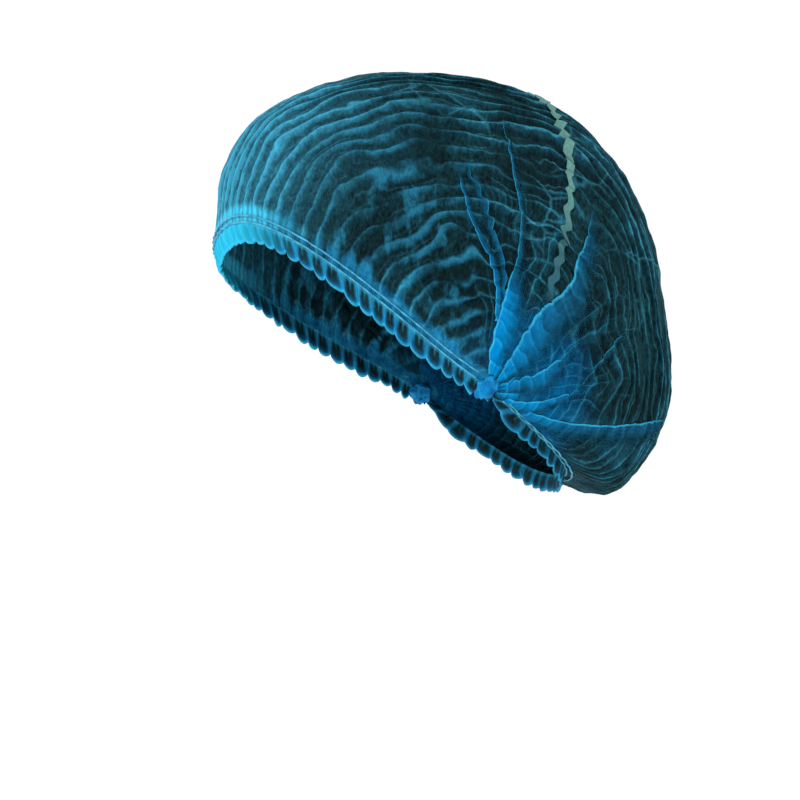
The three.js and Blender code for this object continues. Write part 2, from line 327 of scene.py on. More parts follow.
def crease_phase(share, nominal):
    """Which of the creases that run to a knot a place is on."""
    wide = 0.9 * noise(share * 6 + 44, nominal / 21, 41)
    narrow = 0.35 * noise(share * 19 + 44, nominal / 9, 42)
    return nominal / CREASE_SPACING + wide + narrow


def crease_strength(share, phase):
    """Each crease starts at its own distance from the knot, and comes and goes."""
    s = np.abs(share)
    number = np.floor(phase) * 3.7 + 0.5
    start = 0.52 + 0.22 * noise(number, np.sign(share) * 2.5, 43)
    own = 0.55 + 0.6 * noise(number, share * 7 + 30, 44)
    return smooth(start, start + 0.16, s) * (1 - smooth(0.9, 1.0, s)) * np.clip(own, 0, 1)


# %% [markdown]
# The larger folds are pleats: the web doubles over, and the folded edge lies on the layer below. Each
# is listed from the photograph. Its path is the folded edge, from its outer end to the knot,
# as pairs of a share and a turn. The band beside the edge lies towards the back (1) or the forehead
# (-1), and its width is given at the outer end, half way and at the knot. Tone says how much cloth is
# gathered there. The far side has the same rows, slightly moved, and a ring of short pleats makes the
# bunch at each knot.

# %% Larger folds
PLEAT_NAMES = ("path", "toward", "widths", "height", "tone", "fade", "scallop")
PLEAT_ROWS = {
    "pair, front edge": (
        ((0.50, 79.5), (0.57, 79.4), (0.61, 79.6), (0.67, 82.7), (0.72, 87.6), (0.79, 91.6), (0.86, 93)),
        1, (3, 6, 5), 1.1, 0.86, 0.2, 0.8,
    ),
    "pair, rear edge": (
        ((0.48, 82), (0.54, 84), (0.58, 86), (0.65, 89), (0.69, 92), (0.745, 96), (0.80, 98)),
        -1, (4, 8, 6), 1.0, 0.66, 0.2, 0.8,
    ),
    "thin line": (
        ((0.32, 93), (0.49, 94.6), (0.55, 96.4), (0.61, 97.8), (0.68, 98.6), (0.74, 98.4), (0.80, 96.5)),
        1, (1.5, 4.5, 8), 0.9, 0.60, 0.3, 0.5,
    ),
    "panel before the strip": (
        ((0.64, 98.6), (0.70, 99), (0.77, 98), (0.804, 96), (0.84, 94.6), (0.88, 92), (0.94, 90), (0.99, 94)),
        1, (4, 22, 20), 1.1, 0.95, 0.5, 0.6,
    ),
    "fan edge": (
        ((0.40, 119), (0.475, 120), (0.547, 121.8), (0.60, 122.6),
         (0.65, 125), (0.714, 124.4), (0.80, 121), (0.887, 121.5), (0.96, 126)),
        1, (8, 36, 24), 1.0, 0.58, 0.45, 1.0,
    ),
    "zigzag edge": (
        ((0.66, 148), (0.73, 152), (0.785, 156), (0.85, 160.5), (0.91, 165), (0.97, 176)),
        1, (8, 20, 18), 0.9, 0.46, 0.5, 1.3,
    ),
    "side line": (
        ((0.50, 156), (0.56, 158.5), (0.61, 162), (0.66, 168), (0.70, 176)),
        1, (3, 9, 4), 0.6, 0.26, 0.4, 0.5,
    ),
    "middle fold": (
        ((0.66, 179.5), (0.72, 181.5), (0.76, 185), (0.82, 194), (0.88, 202), (0.95, 208)),
        1, (6, 15, 14), 1.0, 0.56, 0.35, 1.2,
    ),
    "bag crease": (
        ((0.15, 188), (0.25, 188.3), (0.35, 189.2), (0.43, 191.5), (0.60, 197.5), (0.73, 205), (0.86, 210)),
        1, (12, 20, 14), 0.9, 0.56, 0.4, 0.2,
    ),
}
pleats = {name: dict(zip(PLEAT_NAMES, row)) for name, row in PLEAT_ROWS.items()}
BUNCH_PLEATS = 6
rng = np.random.default_rng(7)
for number in range(BUNCH_PLEATS):
    turn = 96 + 106 * (number + 0.5) / BUNCH_PLEATS + rng.uniform(-6, 6)
    start = rng.uniform(0.85, 0.90)
    pleats[f"knot pleat {number}"] = {
        "path": ((start, turn - 9), (0.93, turn), (0.97, turn + 6), (0.998, turn + 14)),
        "toward": 1, "widths": (7, rng.uniform(10, 13), rng.uniform(7, 9)), "height": rng.uniform(0.7, 1.0),
        "tone": 0.85 - 0.3 * float(smooth(140, 185, turn)), "fade": 0.6, "scallop": 0.8,
    }
print("pleats on each side", len(pleats))


def pleat_curve(pleat, side, number):
    """A pleat's path: its share range, and its shares and turns for a smooth curve through them."""
    shares, turns = np.array(pleat["path"], dtype=float).T
    moved = 0.0 if side > 0 else 2.5 * math.sin(number * 2.1)
    return shares[0], shares[-1], (shares, turns + moved)


def pleat_rise(share, nominal, reach):
    """The low swell of the web under each pleat."""
    rise = np.zeros_like(share)
    s = np.abs(share)
    for number, pleat in enumerate(pleats.values()):
        for side in (-1, 1):
            start, end, curve = pleat_curve(pleat, side, number)
            here = (np.sign(share) == side) & (s > start - 0.02)
            if not here.any():
                continue
            width = pleat["widths"][1] * MILLIMETRE
            centre = through(*curve, s[here])
            offset = np.radians(nominal[here] - centre) * reach[here] - pleat["toward"] * width * 0.5
            window = smooth(start - 0.02, start + 0.12, s[here]) * (1 - smooth(end - 0.04, end + 0.01, s[here]))
            hump = 0.4 * pleat["height"] * MILLIMETRE * np.exp(-((offset / width) ** 2))
            rise[here] = np.maximum(rise[here], hump * window)
    return rise


# %% Shape of the web
def web_surface(share, nominal):
    """Points of the folded web and the masks that its finish reads."""
    turn = turn_at(share, nominal)
    reach, front, rear = along_surface(share, turn)
    brim = np.minimum(front, rear)
    s = np.abs(share)
    phase = gather_phase(share, nominal, brim)
    part = phase % 1.0
    crest = (0.5 - 0.5 * np.cos(2 * math.pi * part)) ** 1.8
    strength = gather_strength(phase, nominal, 11)
    near_knot = 1 - smooth(0.75, 1.0, s)
    loose = smooth(0.003, 0.02, brim)
    gather = section_value("gather_height", turn) * (0.25 + 0.75 * loose) * (0.15 + 0.85 * near_knot)
    settle = SETTLE + TOP_SETTLE * np.exp(-(((nominal - 80) / 22) ** 2))
    settle = settle - BACK_EASE * smooth(108, 150, nominal) * smooth(0.003, 0.030, rear)
    height = gather * (strength * crest * 1.7 - 0.55) - settle * loose
    lean_side = np.clip(5 * noise(share * 5 + 9, nominal / 40, 6), -1, 1)
    lean = gather * strength * crest * 1.3 * lean_side * loose

    crowd = np.minimum(1.0, reach / 0.05)
    room = smooth(0.002, 0.014, brim)
    creases = crease_phase(share, nominal)
    sharp = (0.5 - 0.5 * np.cos(2 * math.pi * creases)) ** 3
    crease = crease_strength(share, creases) * room
    height = height + (pleat_rise(share, nominal, reach) + 0.0012 * crease * (sharp - 0.3)) * crowd * room
    puff_zone = smooth(0.35, 0.55, s) * (1 - smooth(58, 80, nominal)) * smooth(0.004, 0.02, brim)
    puffs = noise(share * 17 + 20, nominal / 7.5, 21)
    height = height + puff_zone * 0.0012 * puffs * crowd
    height = height + 0.0005 * noise(share * 40 + 60, nominal / 3.1, 26) * loose
    height = height + 0.00016 * noise(share * 130 + 60, nominal * 0.9, 25) * loose

    across, around, outward = body_frame(share, turn)
    points = body_point(share, turn) + outward * height[..., None] + across * lean[..., None]
    masks = {
        "phase": phase,
        "strength": strength * (0.35 + 0.65 * near_knot),
        "creases": creases,
        "crease": crease,
        "share": share,
        "turn": nominal,
        "front": front,
        "rear": rear,
        "reach": reach,
    }
    return points, masks


def grid_faces(rows, columns):
    """Quads of a grid whose points are listed row by row."""
    r, c = np.meshgrid(np.arange(rows - 1), np.arange(columns - 1), indexing="ij")
    corner = (r * columns + c).ravel()
    return np.stack([corner, corner + 1, corner + columns + 1, corner + columns], axis=1)


def grids_object(name, grids):
    """One mesh object from grids of points, with each mask as a value on its vertices."""
    points, faces, first = [], [], 0
    for grid, _ in grids:
        rows, columns = grid.shape[:2]
        points.append(grid.reshape(-1, 3))
        faces.append(grid_faces(rows, columns) + first)
        first += rows * columns
    thing = mesh_object(name, np.concatenate(points).tolist(), np.concatenate(faces).tolist())
    for mask in grids[0][1]:
        values = [np.broadcast_to(masks[mask], grid.shape[:2]).ravel() for grid, masks in grids]
        layer = thing.data.attributes.new(mask, "FLOAT", "POINT")
        layer.data.foreach_set("value", np.concatenate(values).astype(np.float32))
    thing.data.shade_smooth()
    return thing


web_shares = np.linspace(-1, 1, WEB_COLUMNS + 1)
web_turns = np.linspace(FRONT_BRIM, REAR_BRIM, WEB_ROWS + 1)
share_grid, turn_grid = np.meshgrid(web_shares, web_turns)
web = grids_object("web", [web_surface(share_grid, turn_grid)])
print("web", len(web.data.polygons), "faces")

# %% [markdown]
# A pleat is laid as a thin curled band that takes its footing from the web's own surface. It rises
# over the layer below, turns back at its folded edge and ends underneath. Where it crosses the gathers
# its edge runs in and out.

# %% Pleats over the web
PLEAT_STEP = 0.0035
PLEAT_CLEARANCE = 0.00045
FOLD_ACROSS = (0.05, 0.02, 0.00, 0.01, 0.03, 0.06, 0.10, 0.14)
FOLD_RISE = (-0.30, 0.00, 0.40, 0.70, 0.90, 1.00, 1.00, 0.96)
BAND_ACROSS = np.linspace(0.18, 0.80, 17)
UNDERSIDE_COLUMNS = 2
UNDERSIDE_ACROSS = 0.9
CURL = np.array([*zip(FOLD_ACROSS, FOLD_RISE), *((a, 0.92 - 0.7 * (a - 0.18) / 0.62) for a in BAND_ACROSS)])


def pleat_grid(pleat, side, number):
    """Points and masks of one pleat."""
    start, end, curve = pleat_curve(pleat, side, number)
    rows = max(16, int((end - start) / PLEAT_STEP))
    s = np.linspace(start, end, rows)
    way = (s - start) / (end - start)
    share, edge = side * s, through(*curve, s)
    reach, front, rear = along_surface(share, turn_at(share, edge))
    phase = gather_phase(share, edge, np.minimum(front, rear))
    scallop = np.sin(math.pi * (phase % 1.0))
    wave = 0.0012 * pleat["scallop"] * (0.6 - scallop) * (0.8 + 1.1 * noise(np.floor(phase) * 2.3 + 0.5, number, 71))
    own = number + 0.5
    wave = wave * pleat["toward"] + 0.0006 * noise(s * 60, own, 72) + 0.0014 * noise(s * 13, own, 74)
    wave = wave * np.minimum(1, reach / 0.02) * (1 - 0.65 * smooth(180, 190, edge))
    widths = np.interp(way, (0, 0.06, 0.5, 1), (0.6, *pleat["widths"])) * MILLIMETRE
    widths = widths * (1 + 0.22 * noise(s * 22, own, 73)) * np.minimum(1, 0.3 + reach / 0.03)
    along, rise = np.broadcast_arrays(s[:, None], CURL[:, 1][None])
    offset = wave[:, None] * (1 - CURL[:, 0]) + pleat["toward"] * widths[:, None] * CURL[:, 0]
    nominal = edge[:, None] + np.degrees(offset / np.maximum(reach, 0.008)[:, None])
    nominal = np.clip(nominal, FRONT_BRIM + 0.8, REAR_BRIM - 0.8)
    points, masks = web_surface(side * along, nominal)
    _, _, outward = body_frame(side * along, turn_at(side * along, nominal))
    crowd = np.clip(reach / 0.04, 0.45, 1.0)
    lift = pleat["height"] * MILLIMETRE * 0.6 * crowd * np.interp(way, (0, pleat["fade"], 0.92, 1), (0.1, 1, 1, 0.5))
    puffed = 0.9 + 0.14 * scallop
    clear = PLEAT_CLEARANCE * np.interp(way, (0, 0.1), (0.3, 1))
    points = points + outward * (rise * (lift * puffed)[:, None] + clear[:, None])[..., None]
    shown = np.where(np.arange(len(CURL)) < UNDERSIDE_COLUMNS, UNDERSIDE_ACROSS, CURL[:, 0])
    masks["across"] = np.broadcast_to(shown, rise.shape)
    masks["tone"] = np.full(rise.shape, pleat["tone"])
    masks["number"] = np.full(rise.shape, number * 1.7 + side)
    masks["fade"] = np.broadcast_to(smooth(0.0, pleat["fade"], way)[:, None], rise.shape)
    return points, masks


pleat_grids = [
    pleat_grid(pleat, side, number) for number, pleat in enumerate(pleats.values()) for side in (-1, 1)
]
pleat_cloth = grids_object("web_pleats", pleat_grids)
print("pleats", len(pleat_cloth.data.polygons), "faces")

# %% [markdown]
# Outside each brim line hangs a hem: the web folded double and gathered by the elastics, so it
# stands in a row of small puffed lobes. The front hem carries on the slope of the forehead, and the
# rear one turns down along the nape.

# %% The brim lines
NAPE_HANG = (0.0, -0.2, -0.98)
BROW_LEAN = (0.0, 0.35, 0.0)


def brim_line(share, is_front):
    """Points of a brim line, with the way the hem hangs, its outward face and the way up the web."""
    turn = front_brim_turn(share) if is_front else np.full_like(share, REAR_BRIM)
    across, around, web_outward = body_frame(share, turn)
    down = -around if is_front else around
    hang = down
    if not is_front:
        nape = (1 - smooth(0.6, 1.0, np.abs(share)))[..., None]
        hang = unit(down * (1 - nape) + np.array(NAPE_HANG) * nape)
    else:
        brow = (1 - smooth(0.25, 0.75, np.abs(share)))[..., None]
        hang = unit(down + np.array(BROW_LEAN) * brow)
    outward = unit(np.cross(across, hang))
    if is_front:
        outward = -outward
    return body_point(share, turn), hang, outward, -down, web_outward


# %% Hems
HEM_COLUMNS_PER_LOBE = 14
HEM_ROWS = 13
HEMS = {
    "front_hem_cloth": {
        "is_front": True, "lobes": 46, "width": 0.011, "knot_width": 0.007,
        "middle_width": 0.0095, "scallop": 0.0021, "puff": 0.0018,
    },
    "rear_hem_cloth": {
        "is_front": False, "lobes": 26, "width": 0.008, "knot_width": 0.006,
        "middle_width": 0.009, "scallop": 0.0016, "puff": -0.0015,
    },
}


def hem_object(name, is_front, lobes, width, knot_width, middle_width, scallop, puff):
    """A hem as a double layer: down the outer face, round the fold and up the inner face."""
    shares = np.linspace(-1, 1, lobes * HEM_COLUMNS_PER_LOBE + 1)
    wrap = np.linspace(0, 2, 2 * HEM_ROWS - 1)
    share, wrap = np.meshgrid(shares, wrap)
    point, hang, outward, up, _ = brim_line(share, is_front)
    down = np.minimum(wrap, 2 - wrap)
    phase = lobes * (share + 1) / 2 + 0.30 * noise(share * 15 + 33, 0.5, 53)
    phase = phase + 0.10 * down * noise(share * 21 + 33, 1.5, 54)
    part = phase % 1.0
    lobe = np.sin(math.pi * part) ** 0.6
    own = noise(np.floor(phase) * 3.7 + 0.5, 4.2, 51)
    s = np.abs(share)
    middle = middle_width + (width - middle_width) * smooth(0.1, 0.5, s)
    reach = middle + (knot_width - middle) * smooth(0.75, 1.0, s)
    calm = 0.35 + 0.65 * smooth(0.15, 0.50, s) if is_front else 1.0
    reach = reach * (1 + 0.09 * own * calm) - scallop * calm * (1 + 0.4 * own) * (1 - lobe)
    swell = np.sin(math.pi * np.clip(down * 0.9 + 0.04, 0, 1)) ** 0.8
    layer = np.where(wrap <= 1, 1.0, -0.15)
    lift = puff * (0.85 + 0.4 * own) * lobe * swell * layer - 0.6 * puff * (1 - lobe) * down
    twist = 0.0007 * noise(phase * 1.9, down * 2.5, 52) * (0.3 + 0.7 * down)
    points = point + hang * (reach * down)[..., None] + outward * (lift + twist)[..., None]
    points = points + up * (0.0007 * (1 - down))[..., None]
    masks = {"phase": phase, "down": down, "share": share}
    return grids_object(name, [(points, masks)])


hems = {name: hem_object(name, **sizes) for name, sizes in HEMS.items()}
print("hems", [len(thing.data.polygons) for thing in hems.values()])

# %% [markdown]
# Two covered elastic threads run along each brim, a few millimetres apart. They are stretched, so
# they lie almost straight, and the gathers ripple over and under them.

# %% Elastic threads
THREAD_RADIUS = 0.00048
THREAD_SIDES = 8
THREAD_LIFT = 0.00065
THREADS = {
    "front_thread_lower": (True, 46, 0.0005, 0.985, "front_elastic_lower"),
    "front_thread_upper": (True, 46, 0.0035, 0.985, "front_elastic_upper"),
    "rear_thread_lower": (False, 26, 0.0016, 0.95, "rear_elastic_lower"),
    "rear_thread_upper": (False, 26, 0.0046, 0.95, "rear_elastic_upper"),
}


def thread_object(name, is_front, lobes, height, end):
    """A thin tube along a brim, at a height up the web."""
    share = np.linspace(-end, end, lobes * 10 + 1)
    point, _, _, up, outward = brim_line(share, is_front)
    ripple = 0.00022 * np.sin(2 * math.pi * lobes * (share + 1) / 2)
    weave = 0.0001 * noise(share * 40 + 60, 3.3, 61)
    centre = point + up * (height + weave)[:, None] + outward * (THREAD_LIFT + ripple)[:, None]
    angle = np.linspace(0, 2 * math.pi, THREAD_SIDES, endpoint=False)
    ring = outward[:, None] * np.cos(angle)[None, :, None] + up[:, None] * np.sin(angle)[None, :, None]
    points = centre[:, None] + THREAD_RADIUS * ring
    rows = len(share)
    faces = [
        (r * THREAD_SIDES + c, r * THREAD_SIDES + (c + 1) % THREAD_SIDES,
         (r + 1) * THREAD_SIDES + (c + 1) % THREAD_SIDES, (r + 1) * THREAD_SIDES + c)
        for r in range(rows - 1) for c in range(THREAD_SIDES)
    ]
    faces.append(tuple(range(THREAD_SIDES - 1, -1, -1)))
    faces.append(tuple((rows - 1) * THREAD_SIDES + c for c in range(THREAD_SIDES)))
    thing = mesh_object(name, points.reshape(-1, 3).tolist(), faces)
    along = thing.data.attributes.new("along", "FLOAT", "POINT")
    lengths = np.concatenate([[0], np.cumsum(np.linalg.norm(np.diff(centre, axis=0), axis=1))])
    along.data.foreach_set("value", np.repeat(lengths, THREAD_SIDES).astype(np.float32))
    thing.data.shade_smooth()
    print(name, "length", round(float(lengths[-1]), 3), "m")
    return thing


threads = {name: thread_object(name, *row[:4]) for name, row in THREADS.items()}

# %% [markdown]
# The joining strip is a narrow pale tape over the crown. It was laid flat before the web was
# gathered, so every gather tilts a piece of it, and it now runs in small steps.

# %% Joining strip
STRIP_TURN = 105.5
STRIP_LEAN = 15.0
STRIP_END = 0.74
STRIP_SHOWN_END = 0.78
STRIP_WIDTH = 0.0050
STRIP_STEP = 0.0042
STRIP_LIFT = 0.0009
STRIP_ROWS = (-0.5, -0.25, 0.0, 0.25, 0.5)
STRIP_COLUMNS = 760

strip_shares = np.linspace(-STRIP_SHOWN_END, STRIP_SHOWN_END, STRIP_COLUMNS + 1)
strip_share, strip_side = np.meshgrid(strip_shares, STRIP_ROWS)


def strip_turn(share, side):
    """Turn of a point across the strip, with the small step that each gather gives it."""
    centre = STRIP_TURN + STRIP_LEAN * (share / STRIP_END) ** 2
    reach, front, rear = along_surface(share, turn_at(share, centre))
    phase = gather_phase(share, centre, np.minimum(0.022, np.minimum(front, rear)))
    part = phase % 1.0
    sharp = 0.5 - np.where(part < 0.8, part / 0.8, (1 - part) / 0.2)
    low = smooth(0.34, 0.48, np.abs(share))
    wave = sharp * (1 - low) - 0.5 * np.sin(2 * math.pi * part) * low
    size = 0.85 + 0.4 * noise(np.floor(phase) * 4.3 + 0.5, 7.5, 12)
    width = STRIP_WIDTH * (1 - 0.25 * low)
    return centre + np.degrees((side * width + np.sign(share) * STRIP_STEP * (1 - 0.3 * low) * wave * size) / reach)


strip_points, strip_masks = web_surface(strip_share, strip_turn(strip_share, strip_side))
_, _, strip_outward = body_frame(strip_share, turn_at(strip_share, strip_turn(strip_share, strip_side)))
strip_points = strip_points + strip_outward * STRIP_LIFT
strip_masks["side"] = strip_side
strip = grids_object("joining_strip", [(strip_points, strip_masks)])
print("strip", len(strip.data.polygons), "faces")

# %% [markdown]
# At each end the web is bunched together and welded. The weld itself is a small hard bead, hardly
# wider than a pencil, and the pleats of the web run over its shoulder, so only its puckered end shows.

# %% Welded ends
KNOT_COLUMNS = 150
KNOT_FOLD_SPACING = 0.0021
KNOT_PROFILE_NAMES = ("along", "radius", "relief")
KNOT_PROFILE = (
    (-0.0054, 0.0002, 0.0),
    (-0.0050, 0.0034, 0.3),
    (-0.0030, 0.0048, 0.8),
    (-0.0008, 0.0051, 1.0),
    (0.0006, 0.0046, 1.0),
    (0.0014, 0.0036, 1.0),
    (0.0019, 0.0022, 1.0),
    (0.0021, 0.0009, 1.0),
    (0.0021, 0.0001, 0.8),
)
knot_profile = dict(zip(KNOT_PROFILE_NAMES, np.array(KNOT_PROFILE).T))


def knot_object(name, side):
    """A bunched and crumpled bead about the line through the knots."""
    steps = np.linspace(0, len(KNOT_PROFILE) - 1, 81)
    index = np.arange(len(KNOT_PROFILE))
    along, radius, relief = (np.interp(steps, index, knot_profile[key])[:, None] for key in KNOT_PROFILE_NAMES)
    angle = np.linspace(0, 2 * math.pi, KNOT_COLUMNS + 1)[None]
    uneven = 1 + 0.12 * np.sin(2 * angle + 0.7) + 0.07 * np.sin(5 * angle + side)
    y, z = radius * uneven * np.cos(angle), radius * uneven * np.sin(angle)
    u = (y + along * 0.6) / KNOT_FOLD_SPACING + 20
    v = (z - along * 0.6) / (1.6 * KNOT_FOLD_SPACING) + 20 + side
    folds = ridges(u, v, 83, 1.0)
    lumps = noise(u * 0.5, v * 0.5, 84)
    swell = relief * (0.0008 * folds + 0.0006 * lumps)
    out = smooth(-0.0010, 0.0020, along)
    x = side * (KNOT_HALF_SPAN + along + swell * out)
    stretch = 1 + swell * (1 - out) / np.maximum(radius, 0.002)
    points = np.stack(np.broadcast_arrays(x, KNOT_Y + y * stretch, KNOT_Z + z * stretch), axis=-1)
    masks = {"fold": folds, "lump": 0.5 + 0.5 * lumps}
    return grids_object(name, [(points, masks)])


knots = {"left_knot": knot_object("left_knot", 1), "right_knot": knot_object("right_knot", -1)}
print("knots", [len(thing.data.polygons) for thing in knots.values()])

# %% [markdown]
# Shader maths reads best as plain arithmetic. A wire stands for one socket of a node tree, and its
# operators add the Math nodes. Every other node comes from one method that takes the node's type, its
# settings and its inputs.

# %% Shader helpers
MIX_LOW, MIX_HIGH, MIX_RESULT = 6, 7, 2  # the colour sockets of a Mix node


class Wire:
    """One output socket, with arithmetic that adds Math nodes."""

    def __init__(self, paint, socket):
        self.paint = paint
        self.socket = socket

    def maths(self, operation, *others, clamp=False):
        """A Math node with this wire as its first input."""
        values = dict(enumerate((self, *others)))
        return self.paint.node("ShaderNodeMath", {"operation": operation, "use_clamp": clamp}, values)

    def __add__(self, other):
        return self.maths("ADD", other)

    def __mul__(self, other):
        return self.maths("MULTIPLY", other)

    def __sub__(self, other):
        return self.maths("SUBTRACT", other)

    def __rsub__(self, other):
        return self.paint.node("ShaderNodeMath", {"operation": "SUBTRACT"}, {0: other, 1: self})

    def __truediv__(self, other):
        return self.maths("DIVIDE", other)

    def __abs__(self):
        return self.maths("ABSOLUTE")

    def __pow__(self, other):
        return self.maths("POWER", other)

    __radd__ = __add__
    __rmul__ = __mul__

    def clipped(self):
        """The value held between 0 and 1."""
        return self.maths("ADD", 0.0, clamp=True)

    def ramp(self, low, high):
        """0 below low, 1 above high, eased between."""
        settings = {"interpolation_type": "SMOOTHSTEP"}
        values = {"Value": self, "From Min": low, "From Max": high, "To Min": 0.0, "To Max": 1.0}
        return self.paint.node("ShaderNodeMapRange", settings, values)


class Paint:
    """A material whose nodes are added one call at a time."""

    def __init__(self, name):
        self.material = bpy.data.materials.new(name)
        self.material.use_nodes = True
        self.tree = self.material.node_tree
        self.shader = self.tree.nodes["Principled BSDF"]

    def plug(self, socket, value):
        """Links a wire to a socket, or sets the socket to a constant."""
        if isinstance(value, Wire):
            self.tree.links.new(value.socket, socket)
        elif hasattr(value, "__len__") and len(value) == 3 and socket.type == "RGBA":
            socket.default_value = (*value, 1.0)
        else:
            socket.default_value = value

    def node(self, kind, settings, values, output=0):
        """Adds a node: its settings first, then its sockets. Returns one output as a wire."""
        node = self.tree.nodes.new(kind)
        for key, setting in settings.items():
            setattr(node, key, setting)
        for key, value in values.items():
            self.plug(node.inputs[key], value)
        return Wire(self, node.outputs[output])

    def mask(self, name):
        """A value stored on the mesh."""
        return self.node("ShaderNodeAttribute", {"attribute_name": name}, {}, "Fac")

    def lot(self, number):
        """A random value between 0 and 1 for each whole number."""
        return self.node("ShaderNodeTexWhiteNoise", {"noise_dimensions": "1D"}, {"W": number}, "Value")

    def place(self):
        """Coordinates fixed to the object, in metres."""
        return self.node("ShaderNodeTexCoord", {}, {}, "Object")

    def clouds(self, scale, detail=3.0, roughness=0.55, stretch=None):
        """Noise between 0 and 1, as fine as scale cells to a metre."""
        place = self.place()
        if stretch is not None:
            place = self.node("ShaderNodeMapping", {}, {"Vector": place, "Scale": stretch})
        values = {"Vector": place, "Scale": scale, "Detail": detail, "Roughness": roughness}
        return self.node("ShaderNodeTexNoise", {}, values, "Fac")

    def colour(self, factor, low, high):
        """A colour between two colours or wires. The node holds its factor between 0 and 1."""
        settings = {"data_type": "RGBA", "clamp_factor": True}
        return self.node("ShaderNodeMix", settings, {0: factor, MIX_LOW: low, MIX_HIGH: high}, MIX_RESULT)

    def coats(self, base, *coats):
        """Lays coats over a base colour, each as a factor and a colour."""
        for factor, tint in coats:
            base = self.colour(factor, base, tint)
        return base

    def finish(self, **inputs):
        """Sets the shader's own sockets by name, with underscores for spaces."""
        for key, value in inputs.items():
            self.plug(self.shader.inputs[key.replace("_", " ")], value)
        return self.material

    def bump(self, height, distance, strength=1.0):
        """A Bump node that feeds the shader's Normal."""
        values = {"Height": height, "Distance": distance, "Strength": strength}
        self.plug(self.shader.inputs["Normal"], self.node("ShaderNodeBump", {}, values))


# %% [markdown]
# The web is spun from fine blue fibres. Where it lies single it looks deep teal with a cloudy grain.
# Every crest, pleat edge and overlap puts more fibre in the way, and turns light blue. Colours are
# given as they should look on the screen and turned into base colours here, because the lamps and the
# white surround together make a surface brighter than its own colour.

# %% Colours of the web
LIGHT_LEVEL = 1.40


def seen(red, green, blue):
    """The base colour that looks like this screen colour under these lamps."""
    values = (value / 255 for value in (red, green, blue))
    linear = (v / 12.92 if v <= 0.04045 else ((v + 0.055) / 1.055) ** 2.4 for v in values)
    return tuple(value / LIGHT_LEVEL for value in linear)


# The darkest colour is painted shadow, laid in a band beside each crest.
PAINTED_FOLD_SHADOW = seen(2, 14, 18)
DEEP = seen(4, 14, 15)
TEAL = seen(21, 62, 70)
HAZE = seen(34, 112, 142)
LINE = seen(68, 164, 192)
FRONT_BLUE = seen(60, 150, 182)
BLUE = seen(1, 98, 152)
BLUE_FULL = seen(1, 144, 214)
PUFF = seen(40, 150, 200)
CYAN = seen(66, 204, 250)
BROW = seen(40, 216, 255)
BROW_LIGHT = seen(70, 214, 255)
SHEEN = {"Sheen_Roughness": 0.35, "Sheen_Tint": (0.02, 0.50, 0.66, 1.0)}


def fibre_grain(paint):
    """Cloudy thick and thin places, and a finer speckle of single fibres."""
    clouds = paint.clouds(170.0, 5.0, 0.65).ramp(0.30, 0.72)
    speckle = paint.clouds(700.0, 3.0, 0.75, (1.0, 1.0, 0.55)).ramp(0.34, 0.68)
    return clouds, speckle


def line_at(part, centre, width):
    """1 at a place within each step of a phase, and 0 beyond a width from it."""
    return (1 - abs(part - centre) / width).clipped()


# %% Finish of the web


